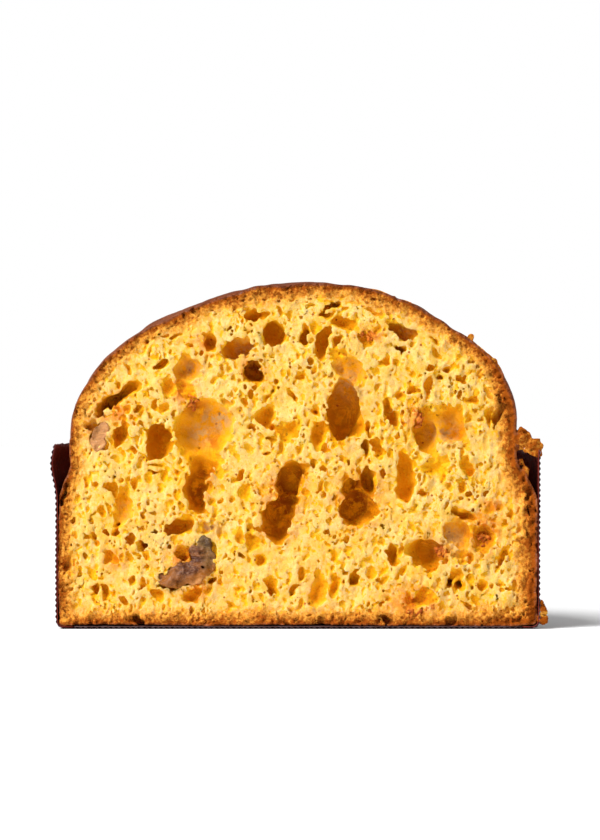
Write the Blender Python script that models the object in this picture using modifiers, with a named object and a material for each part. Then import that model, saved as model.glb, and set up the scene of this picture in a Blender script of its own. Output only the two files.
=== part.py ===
"""Half of a fig and caramel panettone, standing in the half of its paper mould that was cut with it.

Z is up, X runs across the cut face, and the cut face looks along -Y. The origin lies on the surface
that the loaf stands on, under the middle of the bounding box. Lengths below are in millimetres.

Every piece is drawn in the cut frame, which an empty carries: x is measured from the mould's axis,
y is the depth behind the cut, and z is the height above the table.
"""

import math

import bmesh
import bpy
from mathutils import Euler, Matrix, Vector, noise

MM = 0.001

# Mould: a 210 mm paper case, cut a little in front of its axis.
MOULD_RADIUS = 104.6
PAPER = 1.2
CORNER_RADIUS = 3.8
FLANGE_RADIUS = 96.8
BASE_RADIUS = 96.4
RIM_HEIGHT = 78.5
RIM_TILT = 1.5
CUT_BEFORE_AXIS = 5.6
BULGE_HEIGHT = 71.0
BULGE_OUT = 2.3
BULGE_TALL = 6.0
BULGE_ANGLE = math.radians(13)

# Loaf: straight in the mould, a waist just above it, then the dome.
GAP = 0.3
LOAF_RADIUS = 102.8
LOAF_BASE = PAPER + GAP
WAIST_RADIUS = 96.6
WAIST_TOP = 84.0
DOME_RADIUS = 96.4
DOME_HEIGHT = 64.6
DOME_LEAN = 5.5
NECK_LEFT = -2.2
NECK_BASE = 60.0
NECK_TALL = 15.0
SWELL_FADE = 12.0

# The flap of crust that was torn out over the rim on the right: centre, half sizes and tilt.
LIP = ((98.5, 1.0, 82.4), (7.4, 5.0, 2.8), -14)

# The scrap of crust outside the mould's lower right corner reaches this far past the mould.
SCRAP_REACH = 2.8

# The placing of the cut frame. It centres the bounding box on the origin.
FRAME_X = -0.3
FRAME_Y = -(MOULD_RADIUS + CUT_BEFORE_AXIS) / 2

TURN_STEPS = 60
DOME_RINGS = 11
BEND_STEPS = 3
BALL_SEGMENTS = 12
BALL_RINGS = 8
LUMP_HEIGHT = 0.8
LUMP_PITCH = 2.9
KNIFE = 400.0

# Swells and dents of the dome: centre (x, y, z), reach, height along the outward direction.
SWELLS = [
    ((66, 0, 128), 22, -3.0),
    ((-45, 36, 125), 28, 4.0),
    ((30, 70, 120), 30, 2.5),
    ((-52, -6, 137), 16, -2.6),
]

# Open cells of the crumb that the knife went through: centre (x, z), half sizes across the cut,
# tilt in degrees, and the cell's depth behind the cut. A cell's middle lies this share of its depth
# behind the cut, so that its mouth is narrower than the cell.
CELL_MIDDLE = 0.3
CELLS = [
    (-44, 82, 10.0, 14.5, -15, 9),
    (-43, 59, 4.6, 8.0, 8, 9),
    (-61, 81, 5.5, 8.0, -20, 8),
    (-52, 46, 6.0, 4.2, 25, 7),
    (-9, 62, 6.5, 9.5, -12, 12),
    (-10, 48, 6.5, 8.5, 0, 12),
    (27, 56, 7.5, 12.5, -20, 12),
    (20, 93, 8.0, 13.0, -12, 12),
    (55, 31, 5.5, 9.0, -25, 8),
    (-10, 126, 5.2, 5.6, 0, 9),
    (-26, 121, 5.8, 4.6, 20, 7),
    (-19, 111, 5.0, 4.0, 0, 8),
    (-13, 92, 4.6, 5.4, 0, 7),
    (43, 127.5, 7.0, 4.4, -15, 8),
    (-79, 97, 10.5, 2.6, 38, 7),
    (-77, 84, 2.4, 5.6, -35, 6),
    (-76, 51, 4.0, 9.5, -10, 5),
    (47, 64, 5.0, 9.5, 15, 6),
    (60, 87, 8.5, 8.0, 0, 6),
    (69, 19, 3.5, 3.4, 0, 6),
    (66, 39, 6.0, 8.0, 10, 5),
    (-46, 109, 6.0, 7.5, -10, 5),
    (8, 18, 4.5, 8.5, 0, 5),
    (48, 11, 6.5, 4.2, 30, 5),
]

# Fruit and caramel set in the crumb: name, then lobes as centre (x, y, z), half sizes and tilt.
FIGS = {
    "fig_piece_large": [
        ((-47, 3.0, 25.5), (12.0, 6.5, 6.8), 24),
        ((-40, 4.0, 35.0), (4.6, 5.0, 5.6), 10),
    ],
    "fig_piece_left": [((-86, 3.0, 84.5), (4.2, 4.5, 6.0), 25)],
}
CARAMELS = [
    ((51.0, 2.5, 91.0), (2.8, 3.5, 5.4), 0),
    ((83.5, 2.5, 38.5), (4.6, 3.5, 4.0), 20),
    ((62.5, 2.0, 32.0), (3.4, 3.0, 2.2), 25),
    ((56.5, 2.0, 8.6), (4.0, 3.0, 2.2), 10),
    ((-43.5, 2.5, 96.0), (4.6, 3.5, 3.0), 35),
    ((35.5, 2.5, 124.5), (3.4, 3.0, 2.2), -20),
]


def new_collection(name):
    """A collection in the scene."""
    made = bpy.data.collections.new(name)
    bpy.context.scene.collection.children.link(made)
    return made


def material(name, colour, roughness):
    """A plain finish."""
    made = bpy.data.materials.new(name)
    made.use_nodes = True
    shader = made.node_tree.nodes["Principled BSDF"]
    shader.inputs["Base Color"].default_value = (*colour, 1)
    shader.inputs["Roughness"].default_value = roughness
    shader.inputs["Metallic"].default_value = 0
    return made


def place(name, mesh, finish=None):
    """An object in the cut frame. One with no finish is a cutter or a helper, and isn't rendered."""
    obj = bpy.data.objects.new(name, mesh)
    obj.parent = cut_frame
    if finish is None:
        helpers.objects.link(obj)
        obj.hide_render = True
        obj.display_type = "WIRE"
    else:
        loaf.objects.link(obj)
        mesh.materials.append(finish)
        mesh.shade_smooth()
        mesh.set_sharp_from_angle(angle=math.radians(40))
    return obj


def evaluated_mesh(obj):
    """The mesh that an object's modifiers make. The object is removed."""
    bpy.context.view_layer.update()
    graph = bpy.context.evaluated_depsgraph_get()
    mesh = bpy.data.meshes.new_from_object(obj.evaluated_get(graph), depsgraph=graph)
    bpy.data.objects.remove(obj)
    return mesh


def turned(name, outline):
    """The mesh that a line of (radius, height) points sweeps about the mould's axis."""
    line = bpy.data.meshes.new(name + "_outline")
    points = [(radius * MM, 0, height * MM) for radius, height in outline]
    line.from_pydata(points, [(i, i + 1) for i in range(len(points) - 1)], [])
    obj = place(name + "_outline", line)
    screw = obj.modifiers.new("turn", "SCREW")
    screw.steps = screw.render_steps = TURN_STEPS
    screw.use_merge_vertices = True
    screw.merge_threshold = 0.00001
    mesh = evaluated_mesh(obj)
    mesh.transform(Matrix.Translation((0, CUT_BEFORE_AXIS * MM, 0)))
    mesh.name = name
    return mesh


def ball(name, centre, half_sizes, tilt, lumps=0.0, grow=0.0):
    """An ellipsoid's mesh, tilted in the cut's plane. Lumps, in millimetres, roughen its surface."""
    bm = bmesh.new()
    bmesh.ops.create_uvsphere(bm, u_segments=BALL_SEGMENTS, v_segments=BALL_RINGS, radius=1)
    turn = Euler((0, math.radians(-tilt), 0)).to_matrix()
    sizes = Vector(half_sizes)
    for vert in bm.verts:
        outward = vert.co.normalized()
        point = Vector(a * b for a, b in zip(outward, sizes, strict=True))
        point += outward * (grow + lumps * noise.noise(point / LUMP_PITCH + Vector(centre)))
        vert.co = (turn @ point + Vector(centre)) * MM
    # A piece and its pocket are split into triangles alike, so that they can't touch.
    bmesh.ops.triangulate(bm, faces=bm.faces, quad_method="FIXED")
    mesh = bpy.data.meshes.new(name)
    bm.to_mesh(mesh)
    bm.free()
    return mesh


def boolean(obj, operation, other):
    """Cuts or joins another object's solid, in the order that these are called."""
    step = obj.modifiers.new(f"{operation.lower()}_{other.name}", "BOOLEAN")
    step.operation = operation
    step.object = other


def knife():
    """The half space in front of the cut."""
    bm = bmesh.new()
    bmesh.ops.create_cube(bm, size=KNIFE * MM)
    bmesh.ops.translate(bm, verts=bm.verts, vec=(0, -KNIFE / 2 * MM, 0))
    mesh = bpy.data.meshes.new("knife")
    bm.to_mesh(mesh)
    bm.free()
    return place("knife", mesh)


def arc(centre, radius, start, end, steps):
    """Points of an arc as (radius, height), with angles in degrees."""
    angles = [math.radians(start + (end - start) * i / steps) for i in range(steps + 1)]
    return [
        (centre[0] + radius * math.cos(a), centre[1] + radius * math.sin(a)) for a in angles
    ]


def loaf_outline():
    """Half the loaf's section, from the top of the dome, down its side, to the middle of its base."""
    points = []
    for i in range(DOME_RINGS + 1):
        rise = math.cos(math.radians(90 * i / DOME_RINGS))
        out = math.sin(math.radians(90 * i / DOME_RINGS))
        points.append((DOME_RADIUS * out, WAIST_TOP + DOME_HEIGHT * rise))
    points += [(WAIST_RADIUS, 76), (WAIST_RADIUS, 70), (99.4, 65.5), (101.6, 61.5)]
    points += [(LOAF_RADIUS, 56), (LOAF_RADIUS, 32), (LOAF_RADIUS, 8)]
    corner = CORNER_RADIUS - PAPER
    centre = (LOAF_RADIUS - corner, LOAF_BASE + corner)
    points += arc(centre, corner, 0, -90, BEND_STEPS)
    points += [(50, LOAF_BASE), (0, LOAF_BASE)]
    return points


def shape_dome(mesh):
    """Leans the dome to the right, sets its neck to the left, and adds its swells and dents."""
    for vert in mesh.vertices:
        point = vert.co / MM
        if point.z <= NECK_BASE:
            continue
        neck = min(1.0, (point.z - NECK_BASE) / NECK_TALL)
        lean = max(0.0, (point.z - WAIST_TOP) / DOME_HEIGHT)
        point.x += NECK_LEFT * neck + (DOME_LEAN - NECK_LEFT) * lean
        outward = (point - Vector((0, CUT_BEFORE_AXIS, WAIST_TOP))).normalized()
        above = min(1.0, max(0.0, (point.z - WAIST_TOP) / SWELL_FADE))
        for centre, reach, height in SWELLS:
            away = (point - Vector(centre)).length / reach
            point += outward * height * above * math.exp(-away * away / 2)
        vert.co = point * MM


def make_bread():
    """The loaf: crumb and crust, baked as one piece."""
    mesh = turned("bread", loaf_outline())
    shape_dome(mesh)
    bread = place("bread", mesh, crumb_finish)
    lip = place("torn_lip", ball("torn_lip", *LIP, lumps=LUMP_HEIGHT))
    boolean(bread, "UNION", lip)
    boolean(bread, "DIFFERENCE", cut)
    for number, (x, z, half_x, half_z, tilt, depth) in enumerate(CELLS, 1):
        name = f"cell_{number}"
        middle, half_y = depth * CELL_MIDDLE, depth * (1 - CELL_MIDDLE)
        cell = place(name, ball(name, (x, middle, z), (half_x, half_y, half_z), tilt))
        boolean(bread, "DIFFERENCE", cell)
    return bread


def make_inclusion(name, lobes, finish, bread):
    """A piece of fruit or caramel, cut flush, with a pocket for it in the bread."""
    obj = None
    for number, (centre, half_sizes, tilt) in enumerate(lobes, 1):
        lobe_name = f"{name}_lobe_{number}"
        pocket_name = f"{name}_pocket_{number}"
        mesh = ball(lobe_name, centre, half_sizes, tilt, lumps=LUMP_HEIGHT)
        if obj is None:
            obj = place(name, mesh, finish)
        else:
            boolean(obj, "UNION", place(lobe_name, mesh))
        pocket = ball(pocket_name, centre, half_sizes, tilt, lumps=LUMP_HEIGHT, grow=GAP)
        boolean(bread, "DIFFERENCE", place(pocket_name, pocket))
    boolean(obj, "DIFFERENCE", cut)


def make_paper_wall():
    """The mould's wall, turned in under the loaf, with a bulge where it has come away on the left."""
    middle = MOULD_RADIUS - PAPER / 2
    bend = CORNER_RADIUS - PAPER / 2
    heights = [RIM_HEIGHT, 75.5, 73, 70.5, 68, 65, 61, 50, 35, 20, 10]
    outline = [(middle, height) for height in heights]
    centre = (MOULD_RADIUS - CORNER_RADIUS, CORNER_RADIUS)
    outline += arc(centre, bend, 0, -90, BEND_STEPS)
    outline.append((FLANGE_RADIUS, PAPER / 2))
    mesh = turned("paper_wall", outline)
    axis = Vector((0, CUT_BEFORE_AXIS, 0))
    for vert in mesh.vertices:
        point = vert.co / MM - axis
        out = Vector((point.x, point.y, 0)).normalized()
        from_left = math.acos(max(-1.0, min(1.0, -out.x)))
        if point.z > RIM_HEIGHT / 2:
            share = (point.z - RIM_HEIGHT / 2) / (RIM_HEIGHT / 2)
            point.z += RIM_TILT * share * math.cos(from_left)
        across = from_left / BULGE_ANGLE
        up = (point.z - BULGE_HEIGHT) / BULGE_TALL
        point += out * BULGE_OUT * math.exp(-(across * across + up * up) / 2)
        vert.co = (point + axis) * MM
    wall = place("paper_wall", mesh, paper_finish)
    thick = wall.modifiers.new("paper", "SOLIDIFY")
    thick.thickness = PAPER * MM
    thick.offset = 0
    boolean(wall, "DIFFERENCE", cut)


def make_paper_base():
    """The corrugated disc that the loaf stands on."""
    outline = [(0, PAPER), (BASE_RADIUS, PAPER), (BASE_RADIUS, 0), (0, 0)]
    base = place("paper_base", turned("paper_base", outline), paper_finish)
    boolean(base, "DIFFERENCE", cut)


def make_corner_crumb():
    """A scrap of crust stuck outside the mould's lower right corner."""
    half_x = (SCRAP_REACH - GAP) / 2
    centre = (MOULD_RADIUS + GAP + half_x, 3.0, 7.6)
    mesh = ball("corner_crumb", centre, (half_x, 2.6, 4.4), 0)
    crumb = place("corner_crumb", mesh, crust_finish)
    boolean(crumb, "DIFFERENCE", cut)


for old in list(bpy.data.objects):
    bpy.data.objects.remove(old)

loaf = new_collection("fig_and_caramel_panettone")
helpers = new_collection("cutters")
crumb_finish = material("bread_crumb", (0.86, 0.58, 0.2), 0.85)
crust_finish = material("bread_crust", (0.45, 0.18, 0.05), 0.6)
paper_finish = material("mould_paper", (0.07, 0.03, 0.025), 0.6)
fig_finish = material("candied_fig", (0.2, 0.09, 0.06), 0.3)
caramel_finish = material("caramel", (0.55, 0.17, 0.04), 0.35)

cut_frame = bpy.data.objects.new("cut_frame", None)
loaf.objects.link(cut_frame)
cut_frame.location = (FRAME_X * MM, FRAME_Y * MM, 0)

cut = knife()
bread = make_bread()
make_paper_wall()
make_paper_base()
make_corner_crumb()
for fig_name, fig_lobes in FIGS.items():
    make_inclusion(fig_name, fig_lobes, fig_finish, bread)
for count, lobe in enumerate(CARAMELS, 1):
    make_inclusion(f"caramel_lump_{count}", [lobe], caramel_finish, bread)
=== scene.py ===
"""The looks of half a fig and caramel panettone, standing in its half of a corrugated paper mould.

Lengths are in millimetres in the cut frame: x from the mould's axis, y the depth behind the cut, and
z the height above the table. to_frame() takes them to the CAD's frame, in metres.

The bread is carved as a solid on a lattice: the loaf's shape, less its open cells and pores. A mesh
is then drawn over the lattice's surface. The lattice is fine near the cut and coarse behind it.
"""

import math

import bmesh
import bpy
import numpy as np
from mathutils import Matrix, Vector, noise


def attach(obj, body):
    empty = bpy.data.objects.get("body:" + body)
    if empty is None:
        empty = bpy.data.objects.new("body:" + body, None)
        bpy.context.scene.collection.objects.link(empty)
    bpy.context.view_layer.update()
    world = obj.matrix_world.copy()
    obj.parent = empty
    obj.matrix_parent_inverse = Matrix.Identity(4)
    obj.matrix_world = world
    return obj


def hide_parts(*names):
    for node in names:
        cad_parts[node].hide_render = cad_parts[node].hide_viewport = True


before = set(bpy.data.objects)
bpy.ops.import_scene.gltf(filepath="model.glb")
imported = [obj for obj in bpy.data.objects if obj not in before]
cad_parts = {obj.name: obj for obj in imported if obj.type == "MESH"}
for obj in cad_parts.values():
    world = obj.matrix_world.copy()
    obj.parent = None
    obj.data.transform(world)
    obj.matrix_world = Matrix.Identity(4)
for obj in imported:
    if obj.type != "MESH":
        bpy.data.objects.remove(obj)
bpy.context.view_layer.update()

MM = 0.001

# The mould, as the CAD has it.
MOULD_RADIUS = 104.6
RIM_HEIGHT = 78.5
RIM_TILT = 1.5
CORNER_RADIUS = 3.8
FLANGE_RADIUS = 96.8
BASE_RADIUS = 96.4
BASE_THICK = 1.2
CUT_BEFORE_AXIS = 5.6
BULGE_HEIGHT = 71.0
BULGE_OUT = 2.3
BULGE_TALL = 6.0
BULGE_ANGLE = math.radians(13)
FRAME_X = -0.3
FRAME_Y = -(MOULD_RADIUS + CUT_BEFORE_AXIS) / 2

# The mould's paper: a smooth liner, and a sheet of flutes outside it.
LINER = 0.28
FLUTE_PITCH = 2.4
FLUTE_TALL = 0.55
FLUTE_STEPS = 8
WALL_SHEET = 0.2
BASE_SHEET = 0.18
WALL_STEPS = 150

# The loaf, as the CAD has it.
LOAF_RADIUS = 103.2
LOAF_BASE = 1.5
WAIST_RADIUS = 96.6
WAIST_TOP = 84.0
DOME_RADIUS = 96.4
DOME_HEIGHT = 64.6
DOME_LEAN = 5.5
NECK_LEFT = -2.2
NECK_BASE = 60.0
NECK_TALL = 15.0
SWELL_FADE = 12.0
SWELLS = [
    ((66, 0, 128), 22, -3.0),
    ((-45, 36, 125), 28, 4.0),
    ((30, 70, 120), 30, 2.5),
    ((-52, -6, 137), 16, -2.6),
]

# The table of the loaf's section: its sizes, and how far it starts below the table top.
TABLE_WIDE, TABLE_TALL, TABLE_LOW = 124, 172, 10

# Lattice: the fine part goes this deep behind the cut, and the coarse part goes on from there.
FINE_FRONT = -3.4
FINE_DEPTH = 16.4
CUT_AT = 0.6
FINE_STEP = 0.42
COARSE_STEP = 1.5
FIG_STEP = 0.36
FAR = 30.0
NOISE_LOW = (-114.0, -10.0, -8.0)
NOISE_HIGH = (116.0, 116.0, 160.0)

# Each kind of noise on the lattice: the size of its waves, and its seed.
NOISES = {
    "skin_broad": (17.0, 11),
    "skin_middle": (6.5, 12),
    "skin_small": (3.4, 13),
    "cell_warp": (7.0, 20),
    "pore_warp": (2.6, 30),
    "fine": (0.62, 41),
    "grain": (2.4, 42),
    "crumble": (1.15, 43),
    "swell": (6.0, 44),
    "threads": (1.3, 45),
    "lip_lumps": (3.0, 51),
    "lip_crumbs": (1.3, 52),
    "fig_lumps": (3.2, 61),
    "fig_grain": (1.3, 62),
    "fig_face": (3.2, 63),
    "fig_face_grain": (1.2, 64),
}
PORE_SEED = 77
CLUMP_SEED = 5

# Pores: how many are tried, their radii, the least wall between them, and depth for their width.
PORES = [
    (170, (2.2, 3.4), 0.9, 0.72),
    (1500, (1.3, 2.2), 0.55, 0.72),
    (9000, (0.75, 1.4), 0.45, 0.66),
    (18000, (0.45, 0.75), 0.3, 0.6),
]
WALL_PORES = (4000, (0.4, 0.8), 0.5, 0.72)
DIMPLES = (14000, (0.7, 1.8), 0.2, 0.42)

# Open cells that the cut shows: x, z, half sizes across the cut, tilt in degrees, depth.
CELLS = [
    # Upper left.
    (-18.3, 134.6, 5.2, 2.4, 18, 6), (-10, 126.3, 5.3, 5.6, 0, 12), (-25.4, 121.2, 6.0, 4.6, 15, 9),
    (-19.8, 111.4, 5.0, 3.8, 5, 11), (-38, 123.5, 4.4, 2.8, 15, 6), (-45.5, 111.5, 6.6, 6.4, -10, 4.5),
    (-47, 102, 4.0, 5.0, 0, 3.5), (-55.5, 102, 4.8, 4.4, 0, 3.4), (-59.5, 112.3, 3.8, 1.9, 32, 5),
    (-73.0, 102.4, 4.6, 2.6, 40, 9), (-79.0, 97.5, 9.5, 2.3, 41, 12), (-89.6, 88.0, 2.6, 1.5, 35, 6),
    (-77.0, 84.6, 2.6, 5.8, -35, 8), (-60.7, 81.4, 5.2, 7.9, -16, 13),
    (-41.8, 83.4, 12.4, 15.6, -18, 6.6), (-41.5, 68.5, 5.6, 7.0, 0, 6), (-42.8, 58.5, 4.6, 8.0, 6, 11),
    (-13.6, 92, 4.3, 5.2, 10, 9), (-9.8, 88.2, 1.7, 2.3, -30, 7), (-18.9, 85.7, 1.7, 1.9, 0, 4),
    (-1.8, 98.9, 1.9, 2.6, 15, 5), (-9, 107, 1.5, 1.3, 0, 3), (-8.5, 104, 1.8, 1.4, 0, 4),
    (-12.5, 103, 1.4, 1.2, 0, 3), (-15, 101, 1.6, 1.4, 0, 3), (-12, 82, 2.2, 1.4, 0, 3),
    (-14, 75, 2.4, 1.4, 20, 4), (-47.6, 120, 1.8, 1.3, 40, 4), (-4.8, 86.8, 4.4, 6.2, -18, 3),
    (-68.7, 93.2, 2.2, 1.9, 10, 4), (-57.8, 94.7, 2.2, 2.4, 0, 3),
    # Upper right.
    (15.7, 139, 4.6, 1.5, 12, 9), (12.2, 135.3, 3.7, 1.8, -8, 6), (21, 131.2, 6.6, 3.5, -22, 4.5),
    (3.1, 125.8, 2.6, 4.7, 12, 7), (12.2, 121.9, 3.6, 7.0, -20, 6), (19, 120.8, 3.0, 2.3, 0, 4),
    (22, 111.3, 7.6, 9.4, 12, 5), (19.3, 93, 7.6, 12.8, -6, 14), (23.5, 86.5, 5.5, 5.0, 35, 8),
    (44, 128, 6.9, 4.1, -16, 9), (42.9, 120.8, 3.0, 2.0, 5, 7), (35.5, 114.8, 2.0, 2.3, 0, 3),
    (30.5, 124.5, 3.6, 2.6, -15, 3.4), (37.7, 94.5, 2.4, 4.6, 15, 5), (41.3, 91.2, 2.8, 3.4, 10, 6),
    (44.5, 101, 3.6, 1.8, 10, 3.5), (51, 102.5, 2.6, 1.5, 15, 3), (48.9, 112.6, 1.8, 1.5, 0, 3),
    (4, 100, 3.0, 3.4, 0, 2.4), (0.1, 107.7, 1.2, 1.2, 0, 3), (7.8, 90.1, 1.5, 1.9, 0, 5),
    (8.9, 81.9, 3.8, 6.6, -14, 3.4), (30.6, 85.5, 1.5, 4.2, 0, 4), (34.1, 77.5, 3.5, 5.2, 12, 4),
    (28.4, 76.5, 2.0, 5.2, 0, 4), (66.9, 111.5, 1.7, 2.3, 35, 5), (62.8, 107.7, 2.3, 2.0, 0, 4),
    (70.2, 105.8, 1.2, 2.3, 35, 4), (73.5, 96.4, 1.9, 2.3, 0, 4.5), (70.5, 99.2, 1.4, 2.5, 35, 3.5),
    (62, 89, 10.2, 9.6, -10, 4.6), (55.4, 83.2, 4.6, 7.6, -8, 8), (63.2, 83.5, 3.8, 2.4, 0, 5),
    (85.3, 99.6, 1.5, 2.8, 10, 6), (87.2, 93.0, 2.8, 6.6, -4, 8), (83.0, 91.8, 2.2, 5.0, 6, 4.5),
    (59.2, 124.7, 2.8, 1.1, -38, 4), (60.5, 120.2, 3.8, 1.3, -30, 4), (58, 113.5, 1.7, 1.7, 0, 3),
    # Lower left.
    (-75.4, 52.6, 4.2, 9.6, -14, 6), (-77.7, 45.6, 1.2, 1.5, 0, 9), (-81.7, 42.1, 1.4, 1.9, 20, 6),
    (-78.0, 41.2, 2.0, 1.6, 20, 7), (-51.7, 45.6, 6.2, 3.5, 22, 9), (-67.2, 36.3, 1.7, 1.9, 0, 9),
    (-80.8, 31.4, 3.4, 5.2, 0, 4.6), (-87.7, 38.8, 1.7, 2.1, 0, 4), (-61.7, 71, 1.8, 1.5, 0, 5),
    (-61.8, 67, 1.6, 1.3, 15, 6), (-78, 67, 0.9, 1.1, 0, 4), (-76.2, 70.5, 1.2, 1.6, 0, 3),
    (-73.5, 65, 1.6, 1.1, 0, 3), (-68.7, 62, 1.5, 2.1, -10, 5), (-71.1, 20.8, 2.6, 4.0, -22, 4),
    (-88.3, 17.9, 1.7, 3.0, -15, 4), (-84.3, 17, 2.1, 2.2, 0, 4.5), (-99.3, 26.7, 3.0, 1.8, 50, 7),
    (-69.3, 3.9, 3.4, 2.3, 0, 8), (-101.6, 3.9, 1.6, 1.5, 0, 5), (-50.0, 33.2, 3.6, 3.4, 10, 7),
    (-40.6, 44.4, 4.4, 3.0, 10, 3), (-45.4, 14.4, 4.8, 3.0, 12, 5.5), (-56.4, 18.6, 3.8, 2.0, -15, 6),
    (-36.1, 19.8, 2.3, 1.3, 15, 6), (-25.9, 15.5, 2.9, 1.9, 10, 4.5), (-37.2, 14.9, 2.4, 3.2, 20, 3),
    (-27.6, 10.2, 2.6, 1.2, -25, 4), (-19.6, 38, 3.6, 7.8, 14, 3.4), (-25.6, 65.6, 2.1, 3.1, 0, 4),
    (-21.3, 63.8, 1.3, 1.0, 0, 4), (-36.0, 55.0, 2.7, 7.8, 8, 3.4), (-17.1, 29.4, 2.6, 2.8, 0, 6),
    (-13.0, 17.1, 3.5, 4.7, 18, 4.6),
    # Lower middle and right.
    (-4.4, 63.0, 5.8, 8.4, -8, 13), (-8.4, 47.2, 7.6, 7.9, 0, 13), (-5.4, 54.6, 5.4, 5.0, 0, 12),
    (1.4, 66.5, 1.9, 4.5, 20, 5), (25.8, 51.6, 8.6, 7.6, 10, 13), (30.2, 63.6, 3.8, 5.4, 0, 12),
    (22.6, 60.4, 4.4, 4.8, 30, 10), (20.2, 65.4, 1.7, 2.4, 0, 5), (9.3, 62, 1.6, 3.6, -6, 5),
    (5.7, 68.7, 2.5, 3.6, 0, 3), (-1.4, 16, 1.9, 4.0, -22, 5), (7.9, 17.5, 4.6, 9.0, 0, 4.4),
    (14.5, 20, 3.0, 6.5, 0, 3.0), (23.8, 21.8, 2.2, 4.3, -10, 6), (40.5, 32.4, 2.6, 4.3, -14, 6),
    (38.9, 11.4, 1.3, 1.2, 0, 4), (28.4, 28.4, 1.9, 2.3, 0, 3), (15.8, 31.9, 2.4, 3.1, 0, 3),
    (11.2, 5.4, 2.1, 1.4, 0, 6), (38.3, 3.9, 2.1, 2.4, 0, 7), (6.2, 6.2, 1.2, 1.2, 0, 4),
    (46.9, 64.5, 4.6, 11.0, 6, 8), (59.8, 70.3, 7.8, 6.4, -15, 4.4), (73.2, 68.1, 2.6, 5.6, 0, 3.2),
    (54.6, 57.6, 1.8, 1.8, 0, 5), (72.2, 49, 5.6, 2.5, -22, 8), (79.4, 39.6, 5.6, 6.8, 15, 5),
    (67.6, 40.6, 6.0, 7.0, 5, 5.5), (69.1, 31, 3.8, 4.8, 0, 4), (55.2, 31.2, 5.6, 8.4, 26, 9),
    (69.2, 20.4, 4.2, 4.4, 0, 4), (67.1, 18.4, 1.7, 1.7, 0, 9), (71.6, 18.1, 2.0, 1.7, 0, 9),
    (88.6, 29.8, 2.3, 3.3, -18, 5), (73.5, 30.3, 1.6, 2.5, 10, 5), (51.5, 12.2, 6.4, 4.0, 25, 4.4),
    (64.1, 4.1, 3.2, 2.3, 0, 8), (70.2, 3.9, 1.2, 1.2, 0, 5), (99.2, 58.9, 1.5, 1.9, 0, 8),
    (99.7, 51.5, 0.8, 5.0, 4, 7), (98.4, 38.6, 1.6, 2.0, 0, 5), (84.4, 44, 1.4, 1.4, 0, 4),
    (91.6, 48.4, 1.8, 4.0, 5, 3.6), (88.3, 52.4, 1.6, 3.2, 0, 3.4),
    # Crevices that run along the crust.
    (-44.6, 136.2, 2.6, 0.8, 30, 6), (-51.6, 133.8, 2.2, 0.7, 28, 6), (-36.4, 136.6, 2.2, 0.6, 12, 5),
    (-27.0, 140.6, 0.8, 2.4, -25, 5), (-59, 126.8, 1.6, 1.0, 35, 5), (-64.6, 123.6, 1.5, 1.1, 40, 5),
    (-101.4, 57.0, 0.9, 7.4, -6, 9), (-89.4, 98, 0.7, 3.2, -28, 4),
]

# Stains on the crumb: x, z, half sizes, strength. Caramel stains orange, and fig stains grey-brown.
CARAMEL_STAINS = [
    (-40, 123, 6, 4, 0.8), (-50, 103, 5, 7, 1.0), (-44, 96, 5, 5, 0.9), (-20, 112, 6, 5, 0.9),
    (-44, 60, 6, 9, 0.8), (-80, 94, 9, 6, 1.0), (-89, 84, 6, 6, 0.5), (-79, 30, 6, 6, 0.6),
    (-7, 56, 10, 15, 0.9), (1, 66, 4, 7, 0.7), (26, 56, 11, 13, 0.9), (20, 92, 10, 13, 0.5),
    (31, 126, 6, 4, 1.0), (51, 91, 5, 7, 0.8), (80, 42, 9, 10, 1.0), (84, 53, 6, 6, 0.8),
    (62, 33, 5, 4, 0.9), (56, 38, 5, 5, 0.4), (50, 11, 11, 8, 1.0), (47, 5, 8, 4, 0.8),
    (8, 18, 6, 9, 0.35), (-8, 42, 9, 4, 0.7), (-37, 79, 4, 5, 0.9), (-40, 67, 5, 5, 0.8),
    (72, 48, 6, 4, 0.5), (28, 46, 9, 4, 0.5), (91, 62, 6, 6, 0.3), (-48, 33, 6, 4, 0.9),
    (-45, 15, 6, 4, 0.8), (-92, 90, 4, 5, 0.7), (-76, 100, 6, 4, 0.6), (-49.5, 31, 7, 6, 1.0),
    (-44, 19, 9, 4, 0.9), (-19, 129, 5, 3, 0.4), (69, 84, 5, 4, 0.4),
]
FIG_STAINS = [
    (-35, 90, 9, 6, 1.0), (-42, 84, 6, 6, 0.7), (-38, 43, 6, 4, 0.9), (-87, 86, 6, 6, 0.6),
    (64, 84, 7, 6, 0.8), (66, 38, 7, 8, 0.7), (22, 108, 8, 9, 0.6), (-24, 120, 6, 5, 0.6),
    (-64, 44, 9, 8, 0.3), (46, 127, 6, 4, 0.4), (-74, 50, 4, 8, 0.3), (-45, 112, 6, 5, 0.6),
]

# The large fig's lobes: centre, half sizes and tilt.
FIG_LOBES = [
    ((-47.2, 1.2, 24.2), (11.4, 5.2, 5.0), 23),
    ((-55.4, 1.2, 21.2), (4.4, 4.0, 2.5), -8),
    ((-47.4, 1.2, 20.9), (6.2, 4.6, 2.8), 8),
    ((-40.6, 1.2, 29.4), (4.6, 4.8, 5.0), -20),
    ((-43.6, 1.2, 32.4), (3.4, 4.4, 3.2), 30),
    ((-40.0, 1.2, 36.6), (3.2, 4.2, 3.8), 10),
]
# A fig's pocket is wider than it by this much. It is less than 0, so that no gap shows.
FIG_GAP = -0.15

# The small piece of fig on the left.
LEFT_FIG_LOBES = [
    ((-85.8, 1.2, 83.4), (3.8, 3.6, 5.4), -25),
    ((-83.8, 1.2, 86.2), (2.6, 3.0, 3.0), 10),
    ((-86.8, 1.4, 79.8), (2.6, 3.0, 2.6), 0),
]

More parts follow.
